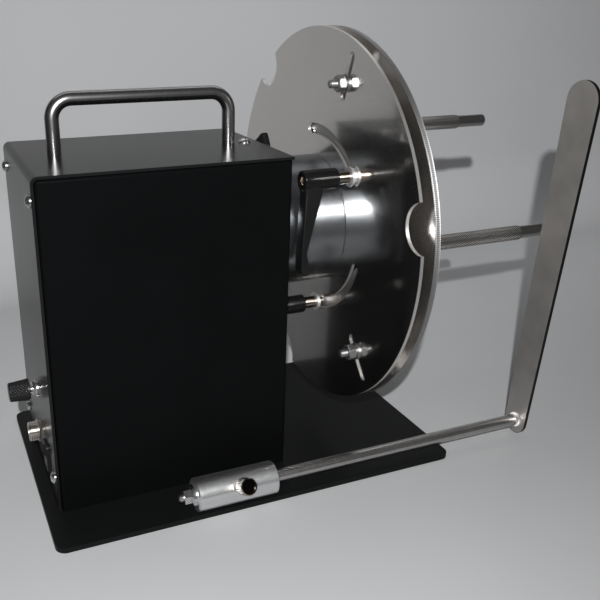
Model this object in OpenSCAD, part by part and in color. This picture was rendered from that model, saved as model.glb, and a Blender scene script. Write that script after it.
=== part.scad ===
// Label rewinder on a bench plate. A motor in the black housing turns a chuck of two discs.
// Three knurled pins hold the core of a label roll and move in and out together.
// X runs along the spindle to the right, Y to the back, Z up. All sizes are in millimetres.
// The origin is the middle of the base plate's underside.

/* [Base plate] */
// Length of the base plate along the spindle
base_l = 326; // [280:1:380]
// Depth of the base plate from front to back
base_w = 204; // [170:1:240]
// Thickness of the base plate
base_t = 4; // [3:0.5:6]
// Corner radius of the base plate
base_r = 8; // [3:0.5:15]

/* [Housing] */
// Width of the housing along the spindle
house_w = 183; // [165:1:200]
// Depth of the housing from front to back
house_d = 131; // [124:1:150]
// Height of the housing above the base plate
house_h = 250; // [240:1:280]
// Thickness of the steel sheet
sheet_t = 2; // [1:0.25:3]
// Outer radius of the fold between the top and the left end
fold_r = 5; // [3:0.5:9]
// Outer radius of the chassis folds
wall_r = 3; // [2.2:0.2:5]
// From the base plate's left edge to the housing
house_left = 9.5; // [4:0.5:20]
// From the base plate's front edge to the housing
house_front = 41.6; // [38:0.2:60]
// Dark seam between the cover and the chassis
seam_gap = 0.6; // [0.3:0.1:1.2]
// Width of the inward lips and flanges
lip_w = 14; // [12:1:20]
// From the front and back faces to the screws of the left end
lip_screw = 7.5; // [6:0.5:9]
// Height of the lower screws of the left end above the base plate
screw_low = 26; // [16:1:40]
// Distance of the upper screws of the left end below the top
screw_high = 17; // [14:1:40]

/* [Fasteners] */
// Radius of the thread of the cover and motor screws
screw_r = 2.5; // [2:0.25:3]
// Radius of the pan heads
head_r = 4.6; // [4:0.1:5.5]
// Height of the pan heads
head_h = 3.2; // [2.5:0.1:4]
// Radial play of a thread in its hole
thread_fit = 0.05; // [0.02:0.01:0.1]
// Radial play of a screw in a plain hole
hole_fit = 0.3; // [0.2:0.05:0.6]

/* [Carry handle] */
// Distance between the handle's legs
handle_span = 132; // [110:1:150]
// Height of the bar's middle above the cover
handle_rise = 38.5; // [30:0.5:60]
// Radius of the handle rod
handle_r = 5; // [4:0.25:6]
// Bend radius at the rod's middle
handle_bend = 14; // [9:0.5:22]
// Distance of the handle's middle to the right of the housing's middle
handle_off = 2; // [-6:0.5:8]

/* [Spindle] */
// Height of the spindle above the base plate
axis_h = 184.4; // [170:0.2:190]
// Radius of the spindle shaft
shaft_r = 10; // [8:0.25:11]
// Radial play of a turning fit
run_fit = 0.05; // [0.02:0.01:0.1]
// Outer radius of the bearing flange
bearing_r = 36; // [34:1:42]
// Radius of the hub drum
hub_r = 51.4; // [48:0.2:54]
// Wall thickness of the hub drum
hub_wall = 7; // [4:0.5:9]
// Gap between the housing and the hub drum
hub_gap = 2; // [1:0.5:4]
// Length of the motor plate standoffs
standoff_l = 62; // [56:1:64]

/* [Chuck discs] */
// Radius of both discs
disc_r = 150; // [145:1:160]
// From the housing's right face to the rear disc
disc_off = 53.8; // [52:0.1:60]
// Thickness of the rear disc
rear_t = 2.5; // [2.5:0.25:4]
// Clear space between the discs
disc_gap = 8.9; // [7.4:0.1:10]
// Thickness of the front disc
front_t = 4; // [3:0.5:6]
// Height left for the knurl on the front disc's edge
rim_knurl = 0.4; // [0.2:0.1:0.8]
// Radius of the finger notches in the rear disc
notch_r = 18; // [12:0.5:24]
// Angle of the first finger notch from the back
notch_a = 49; // [40:1:58]
// Angle of the first radial slot from the back
slot_a = 109.5; // [104:0.5:116]
// From the disc's edge to the outer end of the radial slots
slot_edge = 8; // [6:0.5:12]
// Length of the radial slots
slot_l = 38; // [34:0.5:42]
// Width of the radial slots
slot_w = 7.5; // [7:0.25:9]
// Thread radius of the slot bolts
bolt_r = 3; // [2.5:0.25:3]
// From the outermost place of a slot bolt to where it is set
bolt_in = 20.2; // [4:0.2:24]
// Length of the slot bolts past the rear disc
bolt_out = 14; // [12:0.5:18]
// Radius of the slot nuts at their corners
slot_nut_r = 6.4; // [5.8:0.1:7]

/* [Cam and levers] */
// Radius of the circle of lever studs
lever_c = 72; // [71:0.5:76]
// Angle of the first lever from the back
lever_a = 141; // [136:1:146]
// Direction of a lever's handle from its radius
lever_dir = 125; // [110:1:140]
// Turn of the cam from pins out to pins in
cam_turn = 60; // [40:1:62]
// Thickness of the cam plate
cam_t = 4; // [3:0.25:4.5]
// Radius of the cam plate
cam_r = 84; // [82:1:92]
// Radius of the boss on which the cam plate turns
cam_boss = 24; // [20:0.5:26]
// Thread radius of the lever studs
stud_r = 4; // [3:0.5:4.5]
// Side play of a stud or pin in its slot
slot_fit = 0.3; // [0.2:0.05:0.5]
// Side play of a pin in its cam slot
cam_fit = 0.65; // [0.6:0.05:0.9]
// Radius of a lever's barrel
barrel_r = 7.6; // [6.5:0.1:9]
// Length of a lever's barrel
barrel_l = 28; // [24:0.5:30]
// Length of the steel insert between barrel and washers
insert_l = 11; // [8:0.5:14]
// Length of a lever's handle
grip_l = 71; // [58:1:76]
// Width of a lever's handle
grip_w = 11.5; // [9:0.5:12]

/* [Grip pins] */
// Radius of the pin circle with the pins out
pin_out = 70.7; // [64:0.1:71]
// Radius of the pin circle with the pins in
pin_in = 37.5; // [36:0.5:50]
// Angle of the first pin from the back
pin_a = 69; // [62:1:76]
// Radius of the knurled part
pin_r = 6.2; // [5:0.1:7]
// Radius of the smooth end
pin_tip_r = 5.2; // [4:0.1:5.6]
// Length from the front disc to the shoulder
pin_l = 138; // [100:1:170]
// Length of the smooth end
pin_tip_l = 28.5; // [10:0.5:40]
// Radius of the neck in the slots
neck_r = 4; // [3:0.25:4.5]
// Radius of the collar against the front disc
collar_r = 9.5; // [8:0.5:11]

/* [Guide] */
// Radius of the guide sleeve
sleeve_r = 12.5; // [11:0.25:16]
// Length of the guide sleeve
sleeve_l = 64; // [50:1:80]
// From the base plate's left edge to the sleeve
sleeve_x = 103.2; // [85:0.2:120]
// From the base plate's front edge to the sleeve's axis
sleeve_y = 9.2; // [8:0.2:16]
// Depth of the flat under the sleeve
sleeve_flat = 0.6; // [0.3:0.1:1.5]
// Radius of the guide rod
rod_r = 5; // [4:0.25:6]
// Length of the rod from the sleeve's left end to the bar
rod_l = 296; // [260:1:310]
// Length of the bar from the rod's axis to its top
bar_l = 289; // [220:1:300]
// Radius of the bar's lower end
bar_r0 = 11.4; // [9:0.2:11.4]
// Radius of the bar's upper end
bar_r1 = 15; // [10:0.5:15]
// Thickness of the bar
bar_t = 3; // [2:0.25:4]
// Lean of the bar to the front
bar_lean = 3.8; // [3.4:0.2:8]
// Rise of the thumb screw above level
thumb_a = 30; // [15:1:45]
// Radius of the thumb screw's head
thumb_r = 6.5; // [5:0.25:8]
// From the sleeve's left end to the thumb screw
thumb_x = 34; // [25:0.5:42]

/* [Controls] */
// Height of the speed knob above the base plate
knob_h = 71; // [64:1:90]
// Radius of the knob at the panel
knob_r = 8.8; // [7:0.1:11]
// Length of the knob
knob_l = 15.5; // [12:0.5:20]
// Gap between the panel and the knob
knob_gap = 5.5; // [4.5:0.25:8]
// Height of the supply socket above the base plate
socket_h = 34; // [31:1:44]
// Thread radius of the supply socket
socket_r = 7.8; // [6:0.1:9]
// Distance of the rocker switch in front of the middle
rocker_y = 32; // [26:0.5:34]
// Height of the rocker switch above the base plate
rocker_h = 30; // [24:1:40]
// Angle between the two positions of the rocker
rocker_turn = 18; // [12:1:22]

/* [Hidden] */
$fn = 64;

// Housing faces
hx0 = -base_l / 2 + house_left;
hx1 = hx0 + house_w;
hy0 = -base_w / 2 + house_front;
hy1 = hy0 + house_d;
hz0 = base_t;
hz1 = base_t + house_h;
// Left and top of the chassis, inside the cover
cx0 = hx0 + sheet_t + seam_gap;
cz1 = hz1 - sheet_t - seam_gap;
// Heights of the screws of the left end
sz0 = hz0 + screw_low;
sz1 = hz1 - screw_high;
// Spindle axis
ax_y = hy0 + house_d / 2;
ax_z = base_t + axis_h;
// Stations along the spindle
wall_in = hx1 - sheet_t;
plate_x1 = wall_in - standoff_l;
plate_t = 5;
plate_x0 = plate_x1 - plate_t;
disc_x0 = hx1 + disc_off;
disc_x1 = disc_x0 + rear_t;
front_x0 = disc_x1 + disc_gap;
front_x1 = front_x0 + front_t;
cam_x0 = disc_x1 + 0.6;
cam_x1 = cam_x0 + cam_t;
washer_t = 1.6;
washer_x = disc_x0 - 2 * washer_t;
barrel_x1 = washer_x - insert_l;
barrel_x0 = barrel_x1 - barrel_l;
shoulder_x = hx1 + hub_gap + 2;
// Innermost and outermost places of the slot bolts, and where they are set
slot_r1 = disc_r - slot_edge - slot_w / 2;
slot_r0 = slot_r1 - slot_l + slot_w;
bolt_c = slot_r1 - bolt_in;
// Gap between pieces that slide on a disc and its face
face_gap = 0.05;
// Extra radius of the holes drilled at the ends of curved slots
slot_end = 0.2;
// Bearing, standoff and motor circles
bearing_c = 29;
post_d = 50;
post_r = 6;
motor_c = 24;
motor_bore = 6;
pilot_r = 14;
// Guide axis
gx0 = -base_l / 2 + sleeve_x;
gx1 = gx0 + sleeve_l;
gy = -base_w / 2 + sleeve_y;
gz = base_t + sleeve_r - sleeve_flat;
bar_x = gx0 + rod_l;
tip_r = 3;
stop_t = 3.5;
nut_t = 5;
// Cross screws under the sleeve and in its side
under_r = 2;
thumb_screw_r = 3;
// Board on the back wall
board_x = cx0 + 10.9;
board_z = hz0 + 30;
board_l = 84;
board_w = 66;
post_h = 8;

// A cylinder along X between two stations
module rod_x(x0, x1, r) {
    translate([x0, 0, 0]) rotate([0, 90, 0]) cylinder(r = r, h = x1 - x0);
}

// A cone along X between two stations
module cone_x(x0, x1, r0, r1) {
    translate([x0, 0, 0]) rotate([0, 90, 0]) cylinder(r1 = r0, r2 = r1, h = x1 - x0);
}

// A flat shape drawn in Y and Z, made thick along X
module yz(x0, x1) {
    translate([x0, 0, 0]) rotate([90, 0, 90]) linear_extrude(x1 - x0) children();
}

// A flat shape drawn in X and Z, made thick along Y
module xz(y0, y1) {
    translate([0, y1, 0]) rotate([90, 0, 0]) linear_extrude(y1 - y0) children();
}

// A flat shape drawn in X and Y, made thick along Z
module xy(z0, z1) {
    translate([0, 0, z0]) linear_extrude(z1 - z0) children();
}

// A box between two corners
module box(a, b) {
    translate(a) cube(b - a);
}

// Moves to the spindle axis
module on_axis() {
    translate([0, ax_y, ax_z]) children();
}

// Moves to a place on a circle round the X axis
module polar(r, a) {
    rotate([a, 0, 0]) translate([0, r, 0]) children();
}

// A rectangle with four round corners
module round_rect(x0, y0, x1, y1, r) {
    translate([x0 + r, y0]) square([x1 - x0 - 2 * r, y1 - y0]);
    translate([x0, y0 + r]) square([x1 - x0, y1 - y0 - 2 * r]);
    for (x = [x0 + r, x1 - r]) for (y = [y0 + r, y1 - r]) translate([x, y]) circle(r);
}

// A rectangle with its upper left corner round
module fold_rect(x0, z0, x1, z1, r) {
    translate([x0 + r, z0]) square([x1 - x0 - r, z1 - z0]);
    translate([x0, z0]) square([x1 - x0, z1 - z0 - r]);
    translate([x0 + r, z1 - r]) circle(r);
}

// A slot along an arc about the origin, shorter than half a turn
module arc_slot(r, a0, a1, half) {
    far = 2 * r / cos((a1 - a0) / 2);
    intersection() {
        difference() {
            circle(r + half, $fn = 128);
            circle(r - half, $fn = 128);
        }
        polygon([[0, 0], 2 * r * [cos(a0), sin(a0)], far * [cos((a0 + a1) / 2), sin((a0 + a1) / 2)],
            2 * r * [cos(a1), sin(a1)]]);
    }
    for (a = [a0, a1]) rotate(a) translate([r, 0]) circle(half + slot_end);
}

// A cam slot as one arc, through the pin's places at the start, middle and end of the turn
module cam_slot(r0, r1, turn, half) {
    p0 = [r0, 0];
    p1 = (r0 + r1) / 2 * [cos(turn / 2), sin(turn / 2)];
    p2 = r1 * [cos(turn), sin(turn)];
    m = centre3(p0, p1, p2);
    translate(m) arc_slot(norm(p0 - m), atan2(p0[1] - m[1], p0[0] - m[0]),
        atan2(p2[1] - m[1], p2[0] - m[0]), half);
}

// Centre of the circle through three points
function centre3(a, b, c) =
    let (d = 2 * (a[0] * (b[1] - c[1]) + b[0] * (c[1] - a[1]) + c[0] * (a[1] - b[1])))
    [(a * a * (b[1] - c[1]) + b * b * (c[1] - a[1]) + c * c * (a[1] - b[1])) / d,
     (a * a * (c[0] - b[0]) + b * b * (a[0] - c[0]) + c * c * (b[0] - a[0])) / d];

// A straight slot along the first axis
module line_slot(r0, r1, half) {
    translate([r0, -half]) square([r1 - r0, 2 * half]);
    for (r = [r0, r1]) translate([r, 0]) circle(half);
}

// A pan head screw with a cross recess, its head above Z 0 and its thread below
module pan_screw(l, r = screw_r) {
    ball = (head_r * head_r + head_h * head_h) / (2 * head_h) * 1.12;
    difference() {
        union() {
            intersection() {
                cylinder(r = head_r, h = head_h);
                translate([0, 0, head_h - ball]) sphere(ball);
            }
            translate([0, 0, -l]) cylinder(r = r, h = l + 0.5);
        }
        for (a = [0, 90]) rotate(a) translate([-2.6, -0.55, head_h - 1.7]) cube([5.2, 1.1, 3]);
    }
}

// A countersunk screw with its head flush at Z 0 and its thread below
module flat_screw(l, r, head) {
    difference() {
        union() {
            translate([0, 0, r - head]) cylinder(r1 = r, r2 = head, h = head - r);
            translate([0, 0, -l]) cylinder(r = r, h = l - head + r + 0.01);
        }
        translate([0, 0, -1.4]) cylinder(r = r * 0.6, h = 2, $fn = 6);
    }
}

// The room that a countersunk screw takes
module flat_hole(l, r, head) {
    translate([0, 0, r - head]) cylinder(r1 = r, r2 = head, h = head - r);
    translate([0, 0, -0.001]) cylinder(r = head, h = 1);
    translate([0, 0, -l]) cylinder(r = r, h = l);
}

// Places of the screws through the left end
module left_screws() {
    for (y = [hy0 + lip_screw, hy1 - lip_screw]) for (z = [sz0, sz1])
        translate([hx0, y, z]) rotate([0, -90, 0]) children();
}

// Place of the screw through the top
module top_screw() {
    translate([hx1 - 10, ax_y, hz1]) children();
}

// Places of the handle's legs on the cover
module handle_feet() {
    for (s = [-0.5, 0.5])
        translate([(hx0 + hx1) / 2 + handle_off + s * handle_span, ax_y, hz1]) children();
}

// Places of the screws between base plate and chassis, upside down
module base_screws() {
    for (x = [cx0 + 22, hx1 - 22]) for (y = [hy0 + lip_screw, hy1 - lip_screw])
        translate([x, y, 0]) rotate([180, 0, 0]) children();
}

// Places of the screws under the guide sleeve, upside down
module under_screws() {
    for (x = [gx0 + 11, gx1 - 11]) translate([x, gy, 0]) rotate([180, 0, 0]) children();
}

// Corners of the motor plate
module four_posts() {
    for (y = [-post_d, post_d]) for (z = [-post_d, post_d])
        translate([0, ax_y + y, ax_z + z]) children();
}

// Places round the spindle at 45 degrees
module four_round(r) {
    on_axis() for (a = [45 : 90 : 315]) polar(r, a) children();
}

module base_plate() {
    color([0.07, 0.07, 0.08])
    difference() {
        xy(0, base_t) round_rect(-base_l / 2, -base_w / 2, base_l / 2, base_w / 2, base_r);
        base_screws() flat_hole(base_t + 1, screw_r + hole_fit, 2 * screw_r + hole_fit);
        under_screws() flat_hole(base_t + 1, under_r + hole_fit, 2 * under_r + hole_fit);
    }
}

module chassis() {
    color([0.06, 0.06, 0.07])
    difference() {
        union() {
            xy(hz0, cz1) difference() {
                round_rect(cx0, hy0, hx1, hy1, wall_r);
                round_rect(cx0 + sheet_t, hy0 + sheet_t, hx1 - sheet_t, hy1 - sheet_t, wall_r - sheet_t);
                translate([cx0 - 1, hy0 + lip_w]) square([sheet_t + 8, house_d - 2 * lip_w]);
            }
            for (z = [hz0, cz1 - sheet_t]) {
                box([cx0 + lip_w, hy0 + 0.5, z], [hx1 - lip_w - 4, hy0 + lip_w, z + sheet_t]);
                box([cx0 + lip_w, hy1 - lip_w, z], [hx1 - lip_w - 4, hy1 - 0.5, z + sheet_t]);
                box([hx1 - lip_w, hy0 + lip_w + 4, z], [hx1 - 0.5, hy1 - lip_w - 4, z + sheet_t]);
            }
        }
        for (y = [hy0, hy1]) difference() {
            translate([cx0 - 1, y - 2, cz1 - 2]) cube([house_w, 4, 3]);
            translate([cx0 - 2, y == hy0 ? y + 2 : y - 2, cz1 - 2]) rotate([0, 90, 0])
                cylinder(r = 2, h = house_w + 4);
            translate([cx0 - 2, y == hy0 ? y + 2 : y - 5, cz1 - 3]) cube([house_w + 4, 3, 5]);
        }
        left_screws() translate([0, 0, -12]) cylinder(r = screw_r + thread_fit, h = 14);
        top_screw() translate([0, 0, -12]) cylinder(r = screw_r + thread_fit, h = 14);
        base_screws() translate([0, 0, -12]) cylinder(r = screw_r + thread_fit, h = 14);
        on_axis() rod_x(wall_in - 5, hx1 + 5, shaft_r + 5);
        four_round(bearing_c) rod_x(wall_in - 5, hx1 + 5, screw_r + hole_fit);
        four_posts() rod_x(wall_in - 5, hx1 + 5, screw_r + hole_fit);
        translate([board_x, 0, board_z]) board_holes()
            cylinder(r = 1.5 + thread_fit, h = 20, center = true);
    }
}

module cover() {
    color([0.07, 0.07, 0.08])
    difference() {
        xz(hy0, hy1) difference() {
            fold_rect(hx0, hz0 + seam_gap, hx1 + 0.8, hz1, fold_r);
            fold_rect(hx0 + sheet_t, hz0 - 1, hx1 + 2, hz1 - sheet_t, fold_r - sheet_t);
        }
        left_screws() translate([0, 0, -4]) cylinder(r = screw_r + hole_fit, h = 6);
        top_screw() translate([0, 0, -4]) cylinder(r = screw_r + hole_fit, h = 6);
        handle_feet() translate([0, 0, -4]) cylinder(r = screw_r + hole_fit, h = 6);
        translate([0, ax_y, base_t + knob_h]) rod_x(hx0 - 2, hx0 + 4, 3.7);
        translate([0, ax_y, base_t + socket_h]) rod_x(hx0 - 2, hx0 + 4, socket_r + 0.2);
        translate([hx0 - 2, ax_y - rocker_y - 6.6, base_t + rocker_h - 9.7]) cube([6, 13.2, 19.4]);
    }
}

module cover_screws() {
    color([0.8, 0.8, 0.82]) {
        left_screws() pan_screw(9);
        top_screw() pan_screw(9);
    }
}

module chassis_screws() {
    color([0.75, 0.75, 0.77]) base_screws() flat_screw(base_t + 6, screw_r, 2 * screw_r);
}

module carry_handle() {
    mid = (hx0 + hx1) / 2 + handle_off;
    half = handle_span / 2;
    top = hz1 + handle_rise;
    color([0.55, 0.56, 0.58])
    difference() {
        union() {
            handle_feet() cylinder(r = handle_r, h = handle_rise - handle_bend);
            translate([0, ax_y, top]) rod_x(mid - half + handle_bend, mid + half - handle_bend, handle_r);
            for (s = [0, 1])
                translate([mid + (s == 0 ? -1 : 1) * (half - handle_bend), ax_y, top - handle_bend])
                rotate([90, s == 0 ? -90 : 0, 0])
                rotate_extrude(angle = 90) translate([handle_bend, 0]) circle(handle_r);
        }
        handle_feet() translate([0, 0, -1]) cylinder(r = screw_r + thread_fit, h = 13);
    }
}

module handle_screws() {
    color([0.75, 0.75, 0.77])
    handle_feet() translate([0, 0, -sheet_t]) rotate([180, 0, 0]) pan_screw(12);
}

module bearing_unit() {
    color([0.35, 0.37, 0.4])
    difference() {
        on_axis() {
            rod_x(wall_in - 6, wall_in, bearing_r);
            rod_x(wall_in - 18, wall_in - 5, 24);
        }
        on_axis() rod_x(wall_in - 20, wall_in + 1, shaft_r + run_fit);
        four_round(bearing_c) rod_x(wall_in - 8, wall_in + 1, screw_r + thread_fit);
    }
}

module bearing_screws() {
    color([0.75, 0.75, 0.77])
    four_round(bearing_c) translate([hx1, 0, 0]) rotate([0, 90, 0]) pan_screw(sheet_t + 5.5);
}

module standoffs() {
    color([0.8, 0.8, 0.82])
    four_posts() difference() {
        rod_x(plate_x1, wall_in, post_r);
        rod_x(plate_x1 - 1, plate_x1 + 10, screw_r + thread_fit);
        rod_x(wall_in - 10, wall_in + 1, screw_r + thread_fit);
    }
}

module standoff_screws() {
    color([0.75, 0.75, 0.77]) {
        four_posts() translate([hx1, 0, 0]) rotate([0, 90, 0]) pan_screw(sheet_t + 8);
        four_posts() translate([plate_x0, 0, 0]) rotate([0, -90, 0]) pan_screw(plate_t + 8);
    }
}

module motor_plate() {
    color([0.7, 0.71, 0.73])
    difference() {
        translate([0, ax_y, ax_z]) yz(plate_x0, plate_x1)
            round_rect(-post_d - 9, -post_d - 9, post_d + 9, post_d + 9, 6);
        four_posts() rod_x(plate_x0 - 1, plate_x1 + 1, screw_r + hole_fit);
        four_round(motor_c) rod_x(plate_x0 - 1, plate_x1 + 1, screw_r + hole_fit);
        on_axis() rod_x(plate_x0 - 1, plate_x1 + 1, pilot_r + 0.1);
    }
}

module gear_motor() {
    color([0.25, 0.26, 0.28])
    difference() {
        on_axis() {
            rod_x(plate_x0 - 42, plate_x0, 31);
            rod_x(plate_x0 - 1, plate_x0 + 4, pilot_r);
            rod_x(plate_x0 - 96, plate_x0 - 41, 27);
            cone_x(plate_x0 - 100, plate_x0 - 96, 22, 27);
            rod_x(plate_x0 - 104, plate_x0 - 99, 9);
        }
        on_axis() rod_x(plate_x0 - 24, plate_x0 + 5, motor_bore + run_fit);
        four_round(motor_c) rod_x(plate_x0 - 10, plate_x0 + 1, screw_r + thread_fit);
    }
}

module motor_screws() {
    color([0.75, 0.75, 0.77])
    four_round(motor_c) translate([plate_x1, 0, 0]) rotate([0, 90, 0]) pan_screw(plate_t + 8);
}

module motor_shaft() {
    color([0.8, 0.8, 0.82]) on_axis() rod_x(plate_x0 - 22, plate_x1 + 20, motor_bore);
}

module shaft_coupling() {
    color([0.7, 0.71, 0.73])
    difference() {
        on_axis() {
            rod_x(plate_x1 + 5, plate_x1 + 19, 17);
            rod_x(plate_x1 + 18, plate_x1 + 24, 15);
            rod_x(plate_x1 + 23, plate_x1 + 38, 17);
        }
        on_axis() rod_x(plate_x1 + 4, plate_x1 + 22, motor_bore + 0.02);
        on_axis() rod_x(plate_x1 + 21, plate_x1 + 39, shaft_r + 0.02);
    }
}

module spindle_shaft() {
    color([0.8, 0.8, 0.82])
    difference() {
        on_axis() {
            rod_x(plate_x1 + 22, front_x0, shaft_r);
            rod_x(hx1 + 0.6, shoulder_x, shaft_r + 3.5);
        }
        on_axis() rod_x(front_x0 - 18, front_x0 + 1, 4 + thread_fit);
    }
}

module hub() {
    color([0.82, 0.83, 0.85])
    difference() {
        on_axis() {
            difference() {
                union() {
                    cone_x(hx1 + hub_gap, hx1 + hub_gap + 0.8, hub_r - 0.8, hub_r);
                    rod_x(hx1 + hub_gap + 0.8, disc_x0 - 0.5, hub_r);
                    cone_x(disc_x0 - 0.5, disc_x0, hub_r, hub_r - 0.5);
                }
                rod_x(hx1 + hub_gap - 1, disc_x0 - 16, hub_r - hub_wall);
            }
            rod_x(shoulder_x, disc_x0 - 15, 20);
            rod_x(disc_x0 - 1, front_x0, cam_boss);
        }
        on_axis() rod_x(hx1, front_x0 + 1, shaft_r + 0.02);
        on_axis() for (a = [0 : 60 : 300]) polar(37, a)
            rod_x(disc_x0 - 11, disc_x0 + 1, screw_r + thread_fit);
    }
}

module hub_screws() {
    color([0.75, 0.75, 0.77])
    on_axis() for (a = [0 : 60 : 300]) polar(37, a)
        translate([disc_x1, 0, 0]) rotate([0, 90, 0]) flat_screw(rear_t + 9, screw_r, 2 * screw_r);
}

module rear_disc() {
    color([0.84, 0.85, 0.87])
    difference() {
        on_axis() yz(disc_x0, disc_x1) difference() {
            circle(disc_r, $fn = 128);
            circle(cam_boss + 0.05);
            for (k = [0 : 2]) {
                a = lever_a + 120 * k;
                rotate(notch_a + 120 * k) translate([disc_r, 0]) circle(notch_r);
                arc_slot(lever_c, a - cam_turn - 1, a + 1, stud_r + slot_fit);
                rotate(slot_a + 120 * k) line_slot(slot_r0, slot_r1, slot_w / 2);
            }
        }
        on_axis() for (a = [0 : 60 : 300]) polar(37, a)
            translate([disc_x1, 0, 0]) rotate([0, 90, 0])
            flat_hole(rear_t + 1, screw_r + 0.2, 2 * screw_r + 0.2);
    }
}

module front_disc() {
    color([0.82, 0.83, 0.85])
    on_axis() yz(front_x0, front_x1) difference() {
        circle(disc_r - rim_knurl, $fn = 128);
        circle(4.4);
        for (k = [0 : 2]) {
            rotate(pin_a + 120 * k) line_slot(pin_in - 1, pin_out + 1, neck_r + slot_fit);
            rotate(slot_a + 120 * k) line_slot(slot_r0, slot_r1, slot_w / 2);
        }
    }
}

// A bolt through the radial slots of both discs, with a spacer between them
module slot_bolt(k) {
    x0 = disc_x0 - bolt_out;
    x1 = front_x1 + face_gap;
    color([0.78, 0.78, 0.8])
    on_axis() polar(bolt_c, slot_a + 120 * k) {
        cone_x(x0, x0 + 0.8, bolt_r - 0.8, bolt_r);
        rod_x(x0 + 0.8, x1 + 1, bolt_r);
        rod_x(disc_x1 + face_gap, front_x0 - face_gap, 6.5);
        rod_x(x1, x1 + 1.2, 7);
        difference() {
            rod_x(x1 + 1, x1 + 4.4, 5.2);
            translate([x1 + 2.4, 0, 0]) rotate([0, 90, 0]) cylinder(r = 2.3, h = 3, $fn = 6);
        }
    }
}

// The nut of one slot bolt, with its washers
module slot_nut(k) {
    x1 = disc_x0 - face_gap;
    color([0.78, 0.78, 0.8])
    on_axis() polar(bolt_c, slot_a + 120 * k) difference() {
        union() {
            rod_x(x1 - 1.2, x1, slot_nut_r + 0.2);
            rod_x(x1 - 2.8, x1 - 1.1, slot_nut_r - 1);
            intersection() {
                translate([x1 - 8, 0, 0]) rotate([0, 90, 0]) cylinder(r = slot_nut_r, h = 5.3, $fn = 6);
                union() {
                    cone_x(x1 - 8, x1 - 7, slot_nut_r - 1.1, slot_nut_r - 0.1);
                    rod_x(x1 - 7, x1 - 2.7, slot_nut_r - 0.1);
                }
            }
        }
        rod_x(x1 - 9, x1 + 1, bolt_r + thread_fit);
    }
}

module slot_bolt_1() { slot_bolt(0); }
module slot_bolt_2() { slot_bolt(1); }
module slot_bolt_3() { slot_bolt(2); }
module slot_nut_1() { slot_nut(0); }
module slot_nut_2() { slot_nut(1); }
module slot_nut_3() { slot_nut(2); }

module end_cap() {
    color([0.75, 0.76, 0.78])
    difference() {
        on_axis() {
            rod_x(front_x1, front_x1 + 5, 19);
            cone_x(front_x1 + 5, front_x1 + 6, 19, 18);
        }
        on_axis() rod_x(front_x1 - 1, front_x1 + 8, 4 + hole_fit);
    }
}

module end_screw() {
    color([0.3, 0.3, 0.32])
    on_axis() difference() {
        union() {
            rod_x(front_x1 + 6, front_x1 + 13, 7);
            rod_x(front_x0 - 14, front_x1 + 7, 4);
        }
        translate([front_x1 + 8.5, 0, 0]) rotate([0, 90, 0]) cylinder(r = 3.4, h = 6, $fn = 6);
    }
}

module cam_plate() {
    color([0.72, 0.73, 0.75])
    on_axis() yz(cam_x0, cam_x1) difference() {
        circle(cam_r, $fn = 128);
        circle(cam_boss + run_fit);
        for (k = [0 : 2]) {
            rotate(pin_a + 120 * k) cam_slot(pin_out, pin_in, cam_turn, neck_r + cam_fit);
            rotate(lever_a + 120 * k) translate([lever_c, 0]) circle(stud_r + thread_fit);
        }
    }
}

module lever_washers() {
    color([0.85, 0.85, 0.87])
    on_axis() for (k = [0 : 2]) polar(lever_c, lever_a + 120 * k) difference() {
        union() {
            rod_x(washer_x, washer_x + washer_t, 7.4);
            rod_x(washer_x + 0.5, disc_x0 - face_gap, 6.4);
        }
        rod_x(washer_x - 1, disc_x0 + 1, stud_r + thread_fit);
    }
}

// Moves to the axis of one clamping lever, its handle along the turned Y axis
module lever_place(k) {
    on_axis() polar(lever_c, lever_a + 120 * k) rotate([lever_dir, 0, 0]) children();
}

module lever(k) {
    root = barrel_x0 + 1;
    color([0.05, 0.05, 0.055])
    lever_place(k) difference() {
        union() {
            cone_x(barrel_x0, barrel_x0 + 1.5, barrel_r - 1.2, barrel_r);
            rod_x(barrel_x0 + 1.5, barrel_x1, barrel_r);
            translate([0, 0, -grip_w / 2]) linear_extrude(grip_w) {
                polygon([[root, 0], [root + 15, 0], [root + 14, barrel_r + 3], [root + 1.8, grip_l - 19],
                    [root + 1.6, grip_l - 15], [root + 3.3, grip_l - 9], [root + 3.3, grip_l - 3.4],
                    [root - 3.5, grip_l - 3.4], [root - 3.5, grip_l - 14], [root, barrel_r + 3]]);
                translate([root - 0.1, grip_l - 3.4]) circle(3.4);
            }
        }
        rod_x(barrel_x0 - 1, barrel_x1 + 1, 5 + thread_fit);
    }
}

module lever_insert(k) {
    color([0.72, 0.72, 0.74])
    lever_place(k) difference() {
        union() {
            rod_x(barrel_x0 + 1, washer_x, 5);
            rod_x(washer_x - 1, cam_x1 - 0.2, stud_r);
        }
        for (a = [0, 90]) rotate([a, 0, 0]) box([barrel_x0 - 1, -3, -0.6], [barrel_x0 + 2.6, 3, 0.6]);
    }
}

module lever_1() { lever(0); }
module lever_2() { lever(1); }
module lever_3() { lever(2); }
module lever_insert_1() { lever_insert(0); }
module lever_insert_2() { lever_insert(1); }
module lever_insert_3() { lever_insert(2); }

// The slider that carries one pin through the front disc into the cam plate
module pin_slider(k) {
    color([0.72, 0.72, 0.74])
    on_axis() polar(pin_out, pin_a + 120 * k) {
        rod_x(cam_x0 + 0.3, front_x1 + 18, neck_r);
        rod_x(cam_x1 + 0.3, front_x0 - 0.3, 7.5);
    }
}

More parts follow.
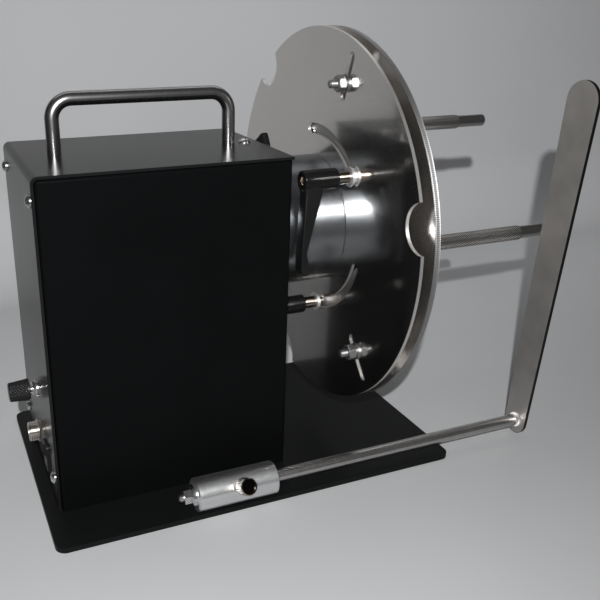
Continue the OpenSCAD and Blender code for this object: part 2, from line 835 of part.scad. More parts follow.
// One grip pin, its collar against the front disc
module grip_pin(k) {
    color([0.68, 0.68, 0.68])
    on_axis() polar(pin_out, pin_a + 120 * k) difference() {
        union() {
            rod_x(front_x1 + 0.3, front_x1 + 5, collar_r);
            cone_x(front_x1 + 5, front_x1 + 6, collar_r, collar_r - 1);
            rod_x(front_x1 + 5.5, front_x1 + pin_l - 0.8, pin_r);
            cone_x(front_x1 + pin_l - 0.8, front_x1 + pin_l, pin_r, pin_r - 0.8);
            rod_x(front_x1 + pin_l - 1, front_x1 + pin_l + pin_tip_l - 1, pin_tip_r);
            cone_x(front_x1 + pin_l + pin_tip_l - 1, front_x1 + pin_l + pin_tip_l,
                pin_tip_r, pin_tip_r - 1);
        }
        rod_x(front_x1, front_x1 + 20, neck_r + 0.02);
    }
}

module pin_slider_1() { pin_slider(0); }
module pin_slider_2() { pin_slider(1); }
module pin_slider_3() { pin_slider(2); }
module grip_pin_1() { grip_pin(0); }
module grip_pin_2() { grip_pin(1); }
module grip_pin_3() { grip_pin(2); }

// Moves to the axis of the speed knob, X 0 on the panel's outer face
module on_knob() {
    translate([hx0, ax_y, base_t + knob_h]) children();
}

module speed_pot() {
    color([0.3, 0.32, 0.3])
    on_knob() difference() {
        union() {
            rod_x(sheet_t, sheet_t + 9, 8.5);
            rod_x(-3.6, sheet_t + 1, 3.5);
            box([sheet_t + 3, -6, -13], [sheet_t + 4.5, 6, -6]);
        }
        rod_x(-5, sheet_t + 7, 3 + run_fit);
    }
}

module pot_nut() {
    color([0.85, 0.85, 0.87])
    on_knob() difference() {
        union() {
            rod_x(-0.8, 0, 7);
            translate([-3.2, 0, 0]) rotate([0, 90, 0]) cylinder(r = 6, h = 2.5, $fn = 6);
        }
        rod_x(-4, 1, 3.5 + thread_fit);
    }
}

module pot_shaft() {
    color([0.75, 0.75, 0.77]) on_knob() rod_x(-knob_gap - 12, sheet_t + 6.5, 3);
}

module speed_knob() {
    x0 = -knob_gap - knob_l;
    color([0.06, 0.06, 0.065])
    on_knob() difference() {
        union() {
            cone_x(x0, x0 + 0.6, knob_r - 1.8, knob_r - 1.2);
            cone_x(x0 + 0.6, -knob_gap, knob_r - 1.2, knob_r);
        }
        rod_x(-knob_gap - 12.5, -knob_gap + 1, 3.02);
        for (a = [0 : 15 : 345]) rotate([a, 0, 0]) translate([x0 - 1, knob_r + 0.25, 0])
            rotate([0, 90, 0]) cylinder(r = 0.8, h = knob_l - 1.5, $fn = 16);
    }
}

// Moves to the axis of the supply socket, X 0 on the panel's outer face
module on_socket() {
    translate([hx0, ax_y, base_t + socket_h]) children();
}

module supply_socket() {
    color([0.85, 0.85, 0.87])
    on_socket() difference() {
        union() {
            translate([-2, 0, 0]) rotate([0, 90, 0]) cylinder(r = socket_r + 2.4, h = 2, $fn = 6);
            rod_x(-9, -1, socket_r - 0.6);
            for (i = [0 : 4]) {
                cone_x(-8.6 + 1.3 * i, -8 + 1.3 * i, socket_r - 0.6, socket_r);
                cone_x(-8 + 1.3 * i, -7.4 + 1.3 * i, socket_r, socket_r - 0.6);
            }
            rod_x(-1, 14, socket_r);
        }
        difference() {
            rod_x(-10, 2, socket_r - 2);
            for (a = [30, 150, 270]) polar(2.9, a) rod_x(-4.5, 3, 0.9);
        }
    }
}

module socket_nut() {
    color([0.8, 0.8, 0.82])
    on_socket() difference() {
        translate([sheet_t, 0, 0]) rotate([0, 90, 0]) cylinder(r = socket_r + 3.2, h = 3, $fn = 6);
        rod_x(sheet_t - 1, sheet_t + 4, socket_r + thread_fit);
    }
}

// Moves to the middle of the rocker switch, X 0 on the panel's outer face
module on_rocker() {
    translate([hx0, ax_y - rocker_y, base_t + rocker_h]) children();
}

module rocker_frame() {
    color([0.05, 0.05, 0.055])
    on_rocker() difference() {
        union() {
            yz(-2, 0) round_rect(-7.6, -10.6, 7.6, 10.6, 1.2);
            box([-0.5, -6.4, -9.5], [14, 6.4, 9.5]);
            for (z = [-5, 0, 5]) box([13, -2.4, z - 0.4], [21, 2.4, z + 0.4]);
        }
        box([-3, -5.2, -8.6], [9, 5.2, 8.6]);
        translate([1, 0, 0]) rotate([90, 0, 0]) cylinder(r = 1.5 + run_fit, h = 12, center = true);
    }
}

// The rocker is drawn in its off position, its lower end pressed in
module rocker() {
    color([0.08, 0.08, 0.085])
    on_rocker() translate([1, 0, 0]) rotate([0, -rocker_turn / 2, 0]) {
        difference() {
            xz(-4.8, 4.8)
                polygon([[-3, 0], [-4.6, 7.6], [1, 7.2], [4, 2], [4, -2], [1, -7.2], [-4.6, -7.6]]);
            box([-6, -1.6, 4], [-3.6, 1.6, 4.6]);
        }
        rotate([90, 0, 0]) cylinder(r = 1.5, h = 11.6, center = true);
    }
}

// Places of the board's posts on the back wall
module board_holes() {
    for (x = [5, board_l - 5]) for (z = [5, board_w - 5])
        translate([x, hy1, z]) rotate([90, 0, 0]) children();
}

module control_board() {
    y = hy1 - sheet_t - post_h;
    color([0.1, 0.35, 0.18])
    translate([board_x, y, board_z]) difference() {
        union() {
            box([0, -1.6, 0], [board_l, 0, board_w]);
            box([8, -20, 12], [34, -1, 38]);
            box([60, -24, 10], [78, -1, 13]);
            for (x = [60, 66, 72, 76]) box([x, -24, 12], [x + 2, -1, 40]);
            box([12, -12, 52], [48, -1, 61]);
            for (x = [42, 54]) translate([x, 0, 24]) rotate([90, 0, 0]) cylinder(r = 5, h = 18);
        }
        for (x = [5, board_l - 5]) for (z = [5, board_w - 5])
            translate([x, -3, z]) rotate([-90, 0, 0]) cylinder(r = 1.5 + hole_fit, h = 5);
    }
}

module board_posts() {
    color([0.8, 0.75, 0.5])
    translate([board_x, 0, board_z]) board_holes() {
        translate([0, 0, sheet_t]) cylinder(r = 3, h = post_h);
        translate([0, 0, 0.4]) cylinder(r = 1.5, h = sheet_t + post_h + 3);
        translate([0, 0, sheet_t + post_h + 1.6]) cylinder(r = 2.7, h = 2.2, $fn = 6);
    }
}

// Moves to the guide's axis
module on_guide() {
    translate([0, gy, gz]) children();
}

// Moves to the thumb screw's axis, its head outward along X
module on_thumb() {
    translate([gx0 + thumb_x, 0, 0]) rotate([-thumb_a, 0, 0]) rotate([0, 0, -90]) children();
}

module guide_sleeve() {
    color([0.8, 0.81, 0.83])
    difference() {
        on_guide() {
            cone_x(gx0, gx0 + 1.2, sleeve_r - 1.2, sleeve_r);
            rod_x(gx0 + 1.2, gx1 - 0.6, sleeve_r);
            cone_x(gx1 - 0.6, gx1, sleeve_r, sleeve_r - 0.6);
        }
        on_guide() rod_x(gx0 - 1, gx1 + 1, rod_r + run_fit);
        box([gx0 - 1, gy - sleeve_r, base_t - 5], [gx1 + 1, gy + sleeve_r, base_t]);
        on_guide() on_thumb() rod_x(0, sleeve_r + 1, thumb_screw_r + thread_fit);
        under_screws() translate([0, 0, -base_t - 6]) cylinder(r = under_r + thread_fit, h = 8);
    }
}

module sleeve_screws() {
    color([0.75, 0.75, 0.77]) under_screws() flat_screw(base_t + 5, under_r, 2 * under_r);
}

module guide_rod() {
    color([0.7, 0.7, 0.72])
    on_guide() {
        rod_x(gx0, bar_x, rod_r);
        rod_x(gx0 - stop_t - nut_t - 3, gx0 + 1, tip_r);
        cone_x(gx0 - stop_t - nut_t - 3.8, gx0 - stop_t - nut_t - 3, tip_r - 0.8, tip_r);
    }
}

module guide_bar() {
    h = bar_l - bar_r1;
    s = asin((bar_r1 - bar_r0) / h);
    color([0.62, 0.61, 0.6])
    on_guide() rotate([bar_lean, 0, 0]) yz(bar_x, bar_x + bar_t) {
        circle(bar_r0);
        translate([0, h]) circle(bar_r1);
        polygon([[bar_r0 * cos(s), -bar_r0 * sin(s)], [bar_r1 * cos(s), h - bar_r1 * sin(s)],
            [-bar_r1 * cos(s), h - bar_r1 * sin(s)], [-bar_r0 * cos(s), -bar_r0 * sin(s)]]);
    }
}

module stop_washer() {
    color([0.82, 0.82, 0.84])
    on_guide() difference() {
        union() {
            cone_x(gx0 - stop_t, gx0 - stop_t + 0.8, 7.8, 8.6);
            rod_x(gx0 - stop_t + 0.8, gx0 - 0.05, 8.6);
        }
        rod_x(gx0 - stop_t - 1, gx0 + 1, tip_r + run_fit);
    }
}

module stop_nut() {
    color([0.8, 0.8, 0.82])
    on_guide() difference() {
        translate([gx0 - stop_t - nut_t, 0, 0]) rotate([0, 90, 0])
            cylinder(r = 5.6, h = nut_t - 0.05, $fn = 6);
        rod_x(gx0 - stop_t - nut_t - 1, gx0 - stop_t + 1, tip_r + 0.02);
    }
}

module thumb_screw() {
    out = sleeve_r + 2.5;
    color([0.45, 0.45, 0.46])
    on_guide() on_thumb() difference() {
        union() {
            rod_x(rod_r + run_fit + 0.1, out + 1, thumb_screw_r);
            cone_x(out, out + 0.8, thumb_r - 0.8, thumb_r);
            rod_x(out + 0.8, out + 11.5, thumb_r);
            cone_x(out + 11.5, out + 12.3, thumb_r, thumb_r - 0.8);
        }
        rod_x(out + 11, out + 13, thumb_r - 1.6);
        for (a = [0 : 12 : 348]) rotate([a, 0, 0]) translate([out - 1, thumb_r + 0.2, 0])
            rotate([0, 90, 0]) cylinder(r = 0.55, h = 15, $fn = 16);
    }
}

base_plate();
chassis();
cover();
cover_screws();
chassis_screws();
carry_handle();
handle_screws();
bearing_unit();
bearing_screws();
standoffs();
standoff_screws();
motor_plate();
gear_motor();
motor_screws();
motor_shaft();
shaft_coupling();
spindle_shaft();
hub();
hub_screws();
rear_disc();
front_disc();
slot_bolt_1();
slot_bolt_2();
slot_bolt_3();
slot_nut_1();
slot_nut_2();
slot_nut_3();
end_cap();
end_screw();
cam_plate();
lever_washers();
lever_1();
lever_2();
lever_3();
lever_insert_1();
lever_insert_2();
lever_insert_3();
pin_slider_1();
pin_slider_2();
pin_slider_3();
grip_pin_1();
grip_pin_2();
grip_pin_3();
speed_pot();
pot_nut();
pot_shaft();
speed_knob();
supply_socket();
socket_nut();
rocker_frame();
rocker();
control_board();
board_posts();
guide_sleeve();
sleeve_screws();
guide_rod();
guide_bar();
stop_washer();
stop_nut();
thumb_screw();
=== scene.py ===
"""Looks of the label rewinder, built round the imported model. Lengths are in metres."""

import math

import bmesh
import bpy
import numpy as np
from mathutils import Matrix, Vector


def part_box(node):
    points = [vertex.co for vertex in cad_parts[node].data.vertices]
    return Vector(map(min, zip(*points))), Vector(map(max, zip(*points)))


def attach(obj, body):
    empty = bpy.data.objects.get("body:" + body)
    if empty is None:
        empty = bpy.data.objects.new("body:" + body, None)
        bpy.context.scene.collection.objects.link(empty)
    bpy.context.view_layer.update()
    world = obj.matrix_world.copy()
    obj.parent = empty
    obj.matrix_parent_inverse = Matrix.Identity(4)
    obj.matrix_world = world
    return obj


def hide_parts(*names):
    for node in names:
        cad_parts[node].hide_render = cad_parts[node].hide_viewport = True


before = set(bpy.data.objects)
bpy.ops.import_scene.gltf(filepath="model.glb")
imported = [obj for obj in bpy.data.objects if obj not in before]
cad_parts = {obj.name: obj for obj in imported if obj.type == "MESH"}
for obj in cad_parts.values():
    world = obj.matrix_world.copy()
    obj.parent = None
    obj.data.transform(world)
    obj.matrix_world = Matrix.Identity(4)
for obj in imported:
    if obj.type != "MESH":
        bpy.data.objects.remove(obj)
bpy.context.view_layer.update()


# Base plate
# A laser-cut steel plate with round corners, powder coated black.
# The housing and the guide sleeve are screwed to it from below.

class Wire:
    """One socket of a material's node tree. Operators on it add Math nodes."""

    def __init__(self, tree, socket=None):
        self.tree = tree
        self.socket = socket

    def node(self, kind, settings=None, out=0, **sockets):
        """Adds a node: its settings first, then the value or link of each socket.
        s0 and s1 are sockets by number."""
        made = self.tree.nodes.new("ShaderNode" + kind)
        for key, value in (settings or {}).items():
            setattr(made, key, value)
        for key, value in sockets.items():
            place = int(key[1:]) if key[1:].isdigit() else key.replace("_", " ")
            if isinstance(value, Wire):
                self.tree.links.new(value.socket, made.inputs[place])
            else:
                made.inputs[place].default_value = value
        return Wire(self.tree, made.outputs[out])

    def math(self, operation, first, second=0.0):
        return self.node("Math", {"operation": operation}, s0=first, s1=second)

    def mix(self, low, high):
        """The colour between low and high, with this socket as the share of high."""
        return self.node("Mix", {"data_type": "RGBA"}, out=2, s0=self, s6=low, s7=high)

    def __add__(self, other):
        return self.math("ADD", self, other)

    def __sub__(self, other):
        return self.math("SUBTRACT", self, other)

    def __rsub__(self, other):
        return self.math("SUBTRACT", other, self)

    def __mul__(self, other):
        return self.math("MULTIPLY", self, other)

    def __pow__(self, other):
        return self.math("POWER", self, other)

    __radd__ = __add__
    __rmul__ = __mul__


def make_material(name, recipe):
    """A material whose Principled shader takes the sockets that recipe gives for an empty tree."""
    material = bpy.data.materials.new(name)
    material.use_nodes = True
    tree = material.node_tree
    shader = tree.nodes["Principled BSDF"]
    for key, value in recipe(Wire(tree)).items():
        if isinstance(value, Wire):
            tree.links.new(value.socket, shader.inputs[key])
        else:
            shader.inputs[key].default_value = value
    return material


def dress(material, *names):
    """Gives CAD nodes a material."""
    for name in names:
        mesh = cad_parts[name].data
        mesh.materials.clear()
        mesh.materials.append(material)


def grey(level, warm=0.0):
    """A grey colour of this level, a little warmer or colder."""
    return (level * (1 + warm), level, level * (1 - warm), 1.0)


def noise(w, scale, detail=2.0, stretch=(1.0, 1.0, 1.0)):
    """Noise on the object's own coordinates, drawn out along an axis whose stretch is small."""
    xyz = w.node("TexCoord", out=3)
    moved = w.node("Mapping", Vector=xyz, Scale=stretch)
    return w.node("TexNoise", Vector=moved, Scale=scale, Detail=detail)


PEEL_GRAIN = 1500.0
PEEL_RISE = 0.0001
COAT_CLOUD = 22.0
COAT_WARM = -0.05


def powder_coat(level, rough, sheen, peel_depth, tint=(1.0, 1.0, 1.0, 1.0)):
    """Black powder coat: fine orange peel, and clouds of slightly different gloss with a faint tint."""
    def recipe(w):
        peel = noise(w, PEEL_GRAIN)
        cloud = noise(w, COAT_CLOUD, 4.0)
        return {
            "Base Color": cloud.mix(grey(level * 0.85, COAT_WARM), grey(level * 1.2, COAT_WARM)),
            "Roughness": cloud * 0.04 + (rough - 0.02),
            "Specular IOR Level": sheen,
            "Specular Tint": tint,
            "Normal": w.node("Bump", Strength=peel_depth, Distance=PEEL_RISE, Height=peel),
        }
    return recipe


plate_coat = make_material("plate_coat", powder_coat(level=0.004, rough=0.38, sheen=0.08, peel_depth=0.1))
dress(plate_coat, "base_plate")


# Housing
# A chassis of folded steel sheet with the front, right and back walls, and a cover
# with the top and the left end. Both are powder coated black, a little glossier.

CHASSIS_TINT = (0.88, 0.91, 1.0, 1.0)
COVER_TINT = (1.0, 0.95, 0.91, 1.0)
chassis_coat = make_material("chassis_coat", powder_coat(
    level=0.002, rough=0.34, sheen=0.03, peel_depth=0.06, tint=CHASSIS_TINT))
dress(chassis_coat, "chassis")
cover_coat = make_material("cover_coat", powder_coat(
    level=0.005, rough=0.24, sheen=0.115, peel_depth=0.03, tint=COVER_TINT))
dress(cover_coat, "cover")


# Screws, nuts and washers
# Standard steel parts with bright zinc plate, driven by a cross recess or a hexagon.

SCRATCH_GRAIN = 2600.0
SCRATCH_RISE = 0.00005
PLATE_CLOUD = 90.0
DARK_FACE_LEVEL = 0.012


def plated(level, rough, warm=0.0, dark_face=None):
    """Plated metal: clouds in the colour, fine scratches in the gloss. A face that looks along the
    direction given as dark_face is coloured near black."""
    def recipe(w):
        cloud = noise(w, PLATE_CLOUD, 4.0)
        scratch = noise(w, SCRATCH_GRAIN, 3.0, (1.0, 0.2, 1.0))
        colour = cloud.mix(grey(level * 0.88, warm), grey(level * 1.08, warm))
        if dark_face is not None:
            facing = w.node("VectorMath", {"operation": "DOT_PRODUCT"}, out=1,
                            s0=w.node("TexCoord", out=1), s1=dark_face)
            colour = w.math("GREATER_THAN", facing, 0.9).mix(colour, grey(DARK_FACE_LEVEL, warm))
        return {
            "Base Color": colour,
            "Metallic": 1.0,
            "Roughness": scratch * 0.12 + (rough - 0.06),
            "Normal": w.node("Bump", Strength=0.08, Distance=SCRATCH_RISE, Height=scratch),
        }
    return recipe


bright_zinc = make_material("bright_zinc", plated(level=0.6, rough=0.22))
dress(bright_zinc, "cover_screws", "chassis_screws", "handle_screws", "bearing_screws", "standoffs",
      "standoff_screws", "motor_screws", "hub_screws", "pot_nut", "socket_nut", "sleeve_screws",
      "stop_washer", "stop_nut")


# Slot bolts
# Three bolts with hexagon nuts, zinc plated and duller than the screws.

bolt_zinc = make_material("bolt_zinc", plated(level=0.25, rough=0.42))
dress(bolt_zinc, "slot_bolt_1", "slot_bolt_2", "slot_bolt_3", "slot_nut_1", "slot_nut_2", "slot_nut_3")


# Carry handle
# A round steel rod with two bends, polished, fixed by screws from inside the cover.

handle_steel = make_material("handle_steel", plated(level=0.26, rough=0.26))
dress(handle_steel, "carry_handle")


# Drive inside the housing
# A painted gear motor and flange bearing. The plate, standoffs and coupling that
# go with them are dressed with the hub and the screws.

motor_paint = make_material("motor_paint", powder_coat(level=0.03, rough=0.45, sheen=0.4, peel_depth=0.1))
dress(motor_paint, "gear_motor", "bearing_unit")


# Hub and discs
# Polished aluminium discs on a turned hub. The hub is bolted to the rear disc, and three
# bolts with spacers stand in radial slots of both discs.

disc_low, disc_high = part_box("rear_disc")
axis_y = (disc_low.y + disc_high.y) / 2
axis_z = (disc_low.z + disc_high.z) / 2
front_low, front_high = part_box("front_disc")
# The inner faces of the two discs are painted paler: painted light that keeps the gap between them
# bright.
INNER_PAINTED_LIGHT = 0.8
INNER_DULL = 0.02
RING_GRAIN = 16000.0
HAZE_GRAIN = 7000.0


def turned(level, rough, depth, y, z, warm=0.0, haze=0.06, edge=0.0, inner=None):
    """Turned metal: fine rings of a depth about an X axis at (y, z), with clouds in the gloss.
    haze is how much duller a grain can be, and edge how much duller the faces are that do not look
    along X. The face that looks along X to the side given as inner, -1 or 1, is painted paler:
    painted light that keeps the reflections between the two discs bright."""
    def recipe(w):
        xyz = w.node("TexCoord", out=3)
        dy = w.node("SeparateXYZ", out=1, Vector=xyz) - y
        dz = w.node("SeparateXYZ", out=2, Vector=xyz) - z
        radius = (dy * dy + dz * dz) ** 0.5
        along = w.node("SeparateXYZ", out=0, Vector=xyz)
        cut = w.node("CombineXYZ", s0=radius, s1=along, s2=0.0)
        ring = w.node("TexNoise", Vector=cut, Scale=RING_GRAIN, Detail=0.0)
        cloud = noise(w, 30.0, 4.0)
        band = w.node("TexNoise", Vector=cut, Scale=110.0, Detail=2.0)
        hazy = w.node("MapRange", Value=noise(w, HAZE_GRAIN, 0.0), From_Min=0.44, From_Max=0.6)
        dull = cloud * 0.05 + band * 0.03 + hazy * haze + (rough - 0.04)
        colour = cloud.mix(grey(level * 0.95, warm), grey(level * 1.04, warm))
        out_x = w.node("SeparateXYZ", out=0, Vector=w.node("TexCoord", out=1))
        if edge:
            dull = dull + w.math("LESS_THAN", w.math("ABSOLUTE", out_x), 0.6) * edge
        if inner is not None:
            painted_light_face = w.math("GREATER_THAN", out_x * inner, 0.9)
            colour = painted_light_face.mix(colour, grey(INNER_PAINTED_LIGHT, warm * 0.5))
            dull = dull + painted_light_face * INNER_DULL
        return {
            "Base Color": colour,
            "Metallic": 1.0,
            "Roughness": dull,
            "Normal": w.node("Bump", Strength=1.0, Distance=depth, Height=ring),
        }
    return recipe


disc_polish = make_material("disc_polish", turned(
    level=0.57, rough=0.09, depth=4e-7, y=axis_y, z=axis_z, warm=0.03, haze=0.2, edge=0.3, inner=1))
dress(disc_polish, "rear_disc", "end_cap")
front_polish = make_material("front_polish", turned(
    level=0.62, rough=0.12, depth=1e-7, y=axis_y, z=axis_z, warm=0.05, haze=0.12, edge=0.3, inner=-1))
dress(front_polish, "front_disc")
hub_polish = make_material("hub_polish", turned(
    level=0.22, rough=0.24, depth=1.6e-5, y=axis_y, z=axis_z, warm=-0.06, haze=0.1))
dress(hub_polish, "hub", "motor_plate", "shaft_coupling")
cam_steel = make_material("cam_steel", turned(
    level=0.3, rough=0.4, depth=1e-6, y=axis_y, z=axis_z, warm=0.02))
dress(cam_steel, "cam_plate")
bpy.context.scene.cycles.max_bounces = 32
bpy.context.scene.cycles.glossy_bounces = 24

SHARP_ANGLE = math.radians(32)
WELD_REACH = 1e-6


def surface(name, points, material, wrap=False):
    """A smooth mesh from a grid of points [along, round, xyz]. wrap joins the last column to the
    first."""
    rows, columns = points.shape[:2]
    index = np.arange(rows * columns).reshape(rows, columns)
    if wrap:
        index = np.concatenate([index, index[:, :1]], axis=1)
    corners = [index[:-1, :-1], index[:-1, 1:], index[1:, 1:], index[1:, :-1]]
    quads = np.stack(corners, axis=-1).reshape(-1, 4)
    mesh = bpy.data.meshes.new(name)
    mesh.from_pydata(points.reshape(-1, 3).tolist(), [], quads.tolist())
    shape = bmesh.new()
    shape.from_mesh(mesh)
    bmesh.ops.remove_doubles(shape, verts=shape.verts, dist=WELD_REACH)
    bmesh.ops.recalc_face_normals(shape, faces=shape.faces)
    shape.to_mesh(mesh)
    shape.free()
    mesh.polygons.foreach_set("use_smooth", np.ones(len(mesh.polygons), dtype=bool))
    mesh.set_sharp_from_angle(angle=SHARP_ANGLE)
    mesh.materials.append(material)
    piece = bpy.data.objects.new(name, mesh)
    bpy.context.scene.collection.objects.link(piece)
    return piece


def zigzag(turns):
    """A wave that runs from 0 up to 1 and back to 0 over each whole turn."""
    return 1 - np.abs(2 * (turns % 1.0) - 1)


def about_x(x, radius, angle, y, z):
    """Points at a radius and angle about an X axis through (y, z)."""
    x, radius, angle = np.broadcast_arrays(x, radius, angle)
    return np.stack([x, y + radius * np.cos(angle), z + radius * np.sin(angle)], axis=-1)


SMOOTH_TONE = 0.36
SMOOTH_ROUGH = 0.2
SMOOTH_MARK = -0.5


def knurled(low, high, rough, warm=0.0):
    """Knurled metal: painted shade darkens the cuts and a painted highlight brightens the points, by the
    piece's stored height.
    Where that is below zero, the metal is smooth and of a middle tone."""
    def recipe(w):
        painted_light_height = w.node("Attribute", {"attribute_name": "painted_light_height"}, out="Fac")
        scratch = noise(w, SCRATCH_GRAIN, 3.0)
        smooth = w.math("LESS_THAN", painted_light_height, -0.1)
        cut = (w.math("MAXIMUM", painted_light_height, 0.0) ** 1.5).mix(grey(low, warm), grey(high, warm))
        return {
            "Base Color": smooth.mix(cut, grey(SMOOTH_TONE, warm)),
            "Metallic": 1.0,
            "Roughness": scratch * 0.12 + smooth * (SMOOTH_ROUGH - rough) + (rough - 0.06),
        }
    return recipe


def mark_ridges(piece, y, z, low, high, first, last):
    """Stores how far each point stands between a low and a high radius about an X axis at (y, z), which
    sets the knurl's painted shade and highlight.
    Points outside the first and the last X of the knurl are smooth and get a value below zero."""
    mesh = piece.data
    points = np.empty(3 * len(mesh.vertices))
    mesh.vertices.foreach_get("co", points)
    points = points.reshape(-1, 3)
    radius = np.hypot(points[:, 1] - y, points[:, 2] - z)
    painted_light_height = mesh.attributes.new("painted_light_height", "FLOAT", "POINT")
    height = np.clip((radius - low) / (high - low), 0, 1)
    smooth = (points[:, 0] < first) | (points[:, 0] > last)
    painted_light_height.data.foreach_set("value", np.where(smooth, SMOOTH_MARK, height))


# The rim's knurl is painted: dark cuts as painted shade, bright points as painted highlight.
rim_steel = make_material("rim_steel", knurled(low=0.06, high=0.56, rough=0.44))
RIM_COUNT = 660
RIM_GROOVE = 0.00075
RIM_HEIGHT = 0.00038
RIM_ROWS = 17
RIM_INSET = 0.0001
RIM_FOOT = 0.001
ROW_SHARE = 0.6


def knurled_rim():
    """A band round the front disc's edge: its radius rises from the edge with the sum of two zigzags,
    one along X and a lower one round the disc, which makes rows of small square points."""
    edge = (front_high.y - front_low.y) / 2
    x = np.linspace(front_low.x + RIM_INSET, front_high.x - RIM_INSET, RIM_ROWS)
    angle = np.linspace(0, 2 * np.pi, 4 * RIM_COUNT, endpoint=False)
    rows = zigzag(x[:, None] / RIM_GROOVE)
    teeth = zigzag(angle[None, :] * RIM_COUNT / (2 * np.pi))
    radius = edge + RIM_HEIGHT * (ROW_SHARE * rows + (1 - ROW_SHARE) * teeth)
    foot = np.full_like(radius[:1], edge - RIM_FOOT)
    x = np.concatenate([x[:1], x, x[-1:]])
    radius = np.concatenate([foot, radius, foot])
    points = about_x(x[:, None], radius, angle[None, :], axis_y, axis_z)
    band = surface("knurled_rim", points, rim_steel, wrap=True)
    mark_ridges(band, axis_y, axis_z, edge, edge + RIM_HEIGHT, front_low.x, front_high.x)
    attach(band, "chuck")


knurled_rim()


# Bolt threads
# The ends of the slot bolts show a rolled thread past the nuts, zinc plated like the bolts.

THREAD_PITCH = 0.001
THREAD_RISE = 0.00022
THREAD_ROOT = 0.003
THREAD_FOOT = 0.0029
BOLT_POINT = 0.0008
NUT_LAP = 0.0005


def bolt_thread(number):
    """A cylinder whose radius rises and falls along a screw line: the zigzag of X less the share of
    a turn."""
    low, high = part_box("slot_bolt_%d" % number)
    nut_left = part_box("slot_nut_%d" % number)[0].x
    y, z = (low.y + high.y) / 2, (low.z + high.z) / 2
    x = np.arange(low.x + BOLT_POINT, nut_left + NUT_LAP, THREAD_PITCH / 8)
    angle = np.linspace(0, 2 * np.pi, 32, endpoint=False)
    height = zigzag(x[:, None] / THREAD_PITCH - angle[None, :] / (2 * np.pi))
    radius = THREAD_ROOT + THREAD_RISE * height
    radius[[0, -1]] = THREAD_FOOT
    points = about_x(x[:, None], radius, angle[None, :], y, z)
    piece = surface("bolt_thread_%d" % number, points, bolt_zinc, wrap=True)
    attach(piece, "spacer_%d" % number)


for number in (1, 2, 3):
    bolt_thread(number)


# Clamping levers
# Moulded black levers on steel inserts, each with a domed yellow-plated screw in its barrel.
# Each clamps the cam plate through a slot of the rear disc.

def moulded(level, rough, sheen):
    """Moulded black plastic with a fine spark texture."""
    def recipe(w):
        spark = noise(w, 2200.0, 2.0)
        cloud = noise(w, 60.0, 3.0)
        return {
            "Base Color": cloud.mix(grey(level * 0.8), grey(level * 1.3)),
            "Roughness": cloud * 0.1 + (rough - 0.05),
            "Specular IOR Level": sheen,
            "Normal": w.node("Bump", Strength=0.4, Distance=0.0001, Height=spark),
        }
    return recipe


barrel_plastic = make_material("barrel_plastic", moulded(level=0.004, rough=0.22, sheen=0.12))
grip_plastic = make_material("grip_plastic", moulded(level=0.004, rough=0.3, sheen=0.2))
screw_brass = make_material("screw_brass", plated(level=0.66, rough=0.24, warm=0.2))
BARREL_L = 0.028
BARREL_R = 0.0076
BARREL_BORE = 0.0049
BARREL_ROUND = 0.0012
BARREL_EDGE = 0.0006
FIRST_AIM = 266.0


def lever_axis(number):
    """The Y and Z of a lever's own axis, and the turn of its handle from the Y direction."""
    low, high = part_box("lever_insert_%d" % number)
    aim = math.radians(FIRST_AIM + 120 * (number - 1))
    return (low.y + high.y) / 2, (low.z + high.z) / 2, aim


def lever_barrel(number):
    """A revolved barrel with rounded ends: a table of radius against X."""
    y, z = lever_axis(number)[:2]
    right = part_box("lever_%d" % number)[1].x
    left = right - BARREL_L
    soft = np.radians(np.linspace(90, 0, 7))
    x = np.concatenate([[left], left + BARREL_ROUND * (1 - np.sin(soft)),
                        right - BARREL_EDGE * (1 - np.cos(soft)), [right]])
    r = np.concatenate([[BARREL_BORE], BARREL_R - BARREL_ROUND * (1 - np.cos(soft)),
                        BARREL_R - BARREL_EDGE * (1 - np.sin(soft)), [BARREL_BORE]])
    angle = np.linspace(0, 2 * np.pi, 96, endpoint=False)
    points = about_x(x[:, None], r[:, None], angle[None, :], y, z)
    piece = surface("lever_barrel_%d" % number, points, barrel_plastic, wrap=True)
    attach(piece, "lever_%d" % number)
    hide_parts("lever_%d" % number)


GRIP_L = 0.071
GRIP_HALF = 0.00575
GRIP_TIP = 0.0034
GRIP_ROOT = 0.001
GRIP_NECK = 0.0106
GRIP_THINNED = 0.0008
SECTION_POWER = 8
LEFT_OUTLINE = [(0.0, 0.0), (GRIP_NECK, 0.0), (GRIP_L - 0.014, -0.0035)]
RIGHT_OUTLINE = [(0.0, 0.015), (GRIP_NECK, 0.014), (GRIP_L - 0.019, 0.0018),
                 (GRIP_L - 0.015, 0.0016), (GRIP_L - 0.009, 0.0033)]


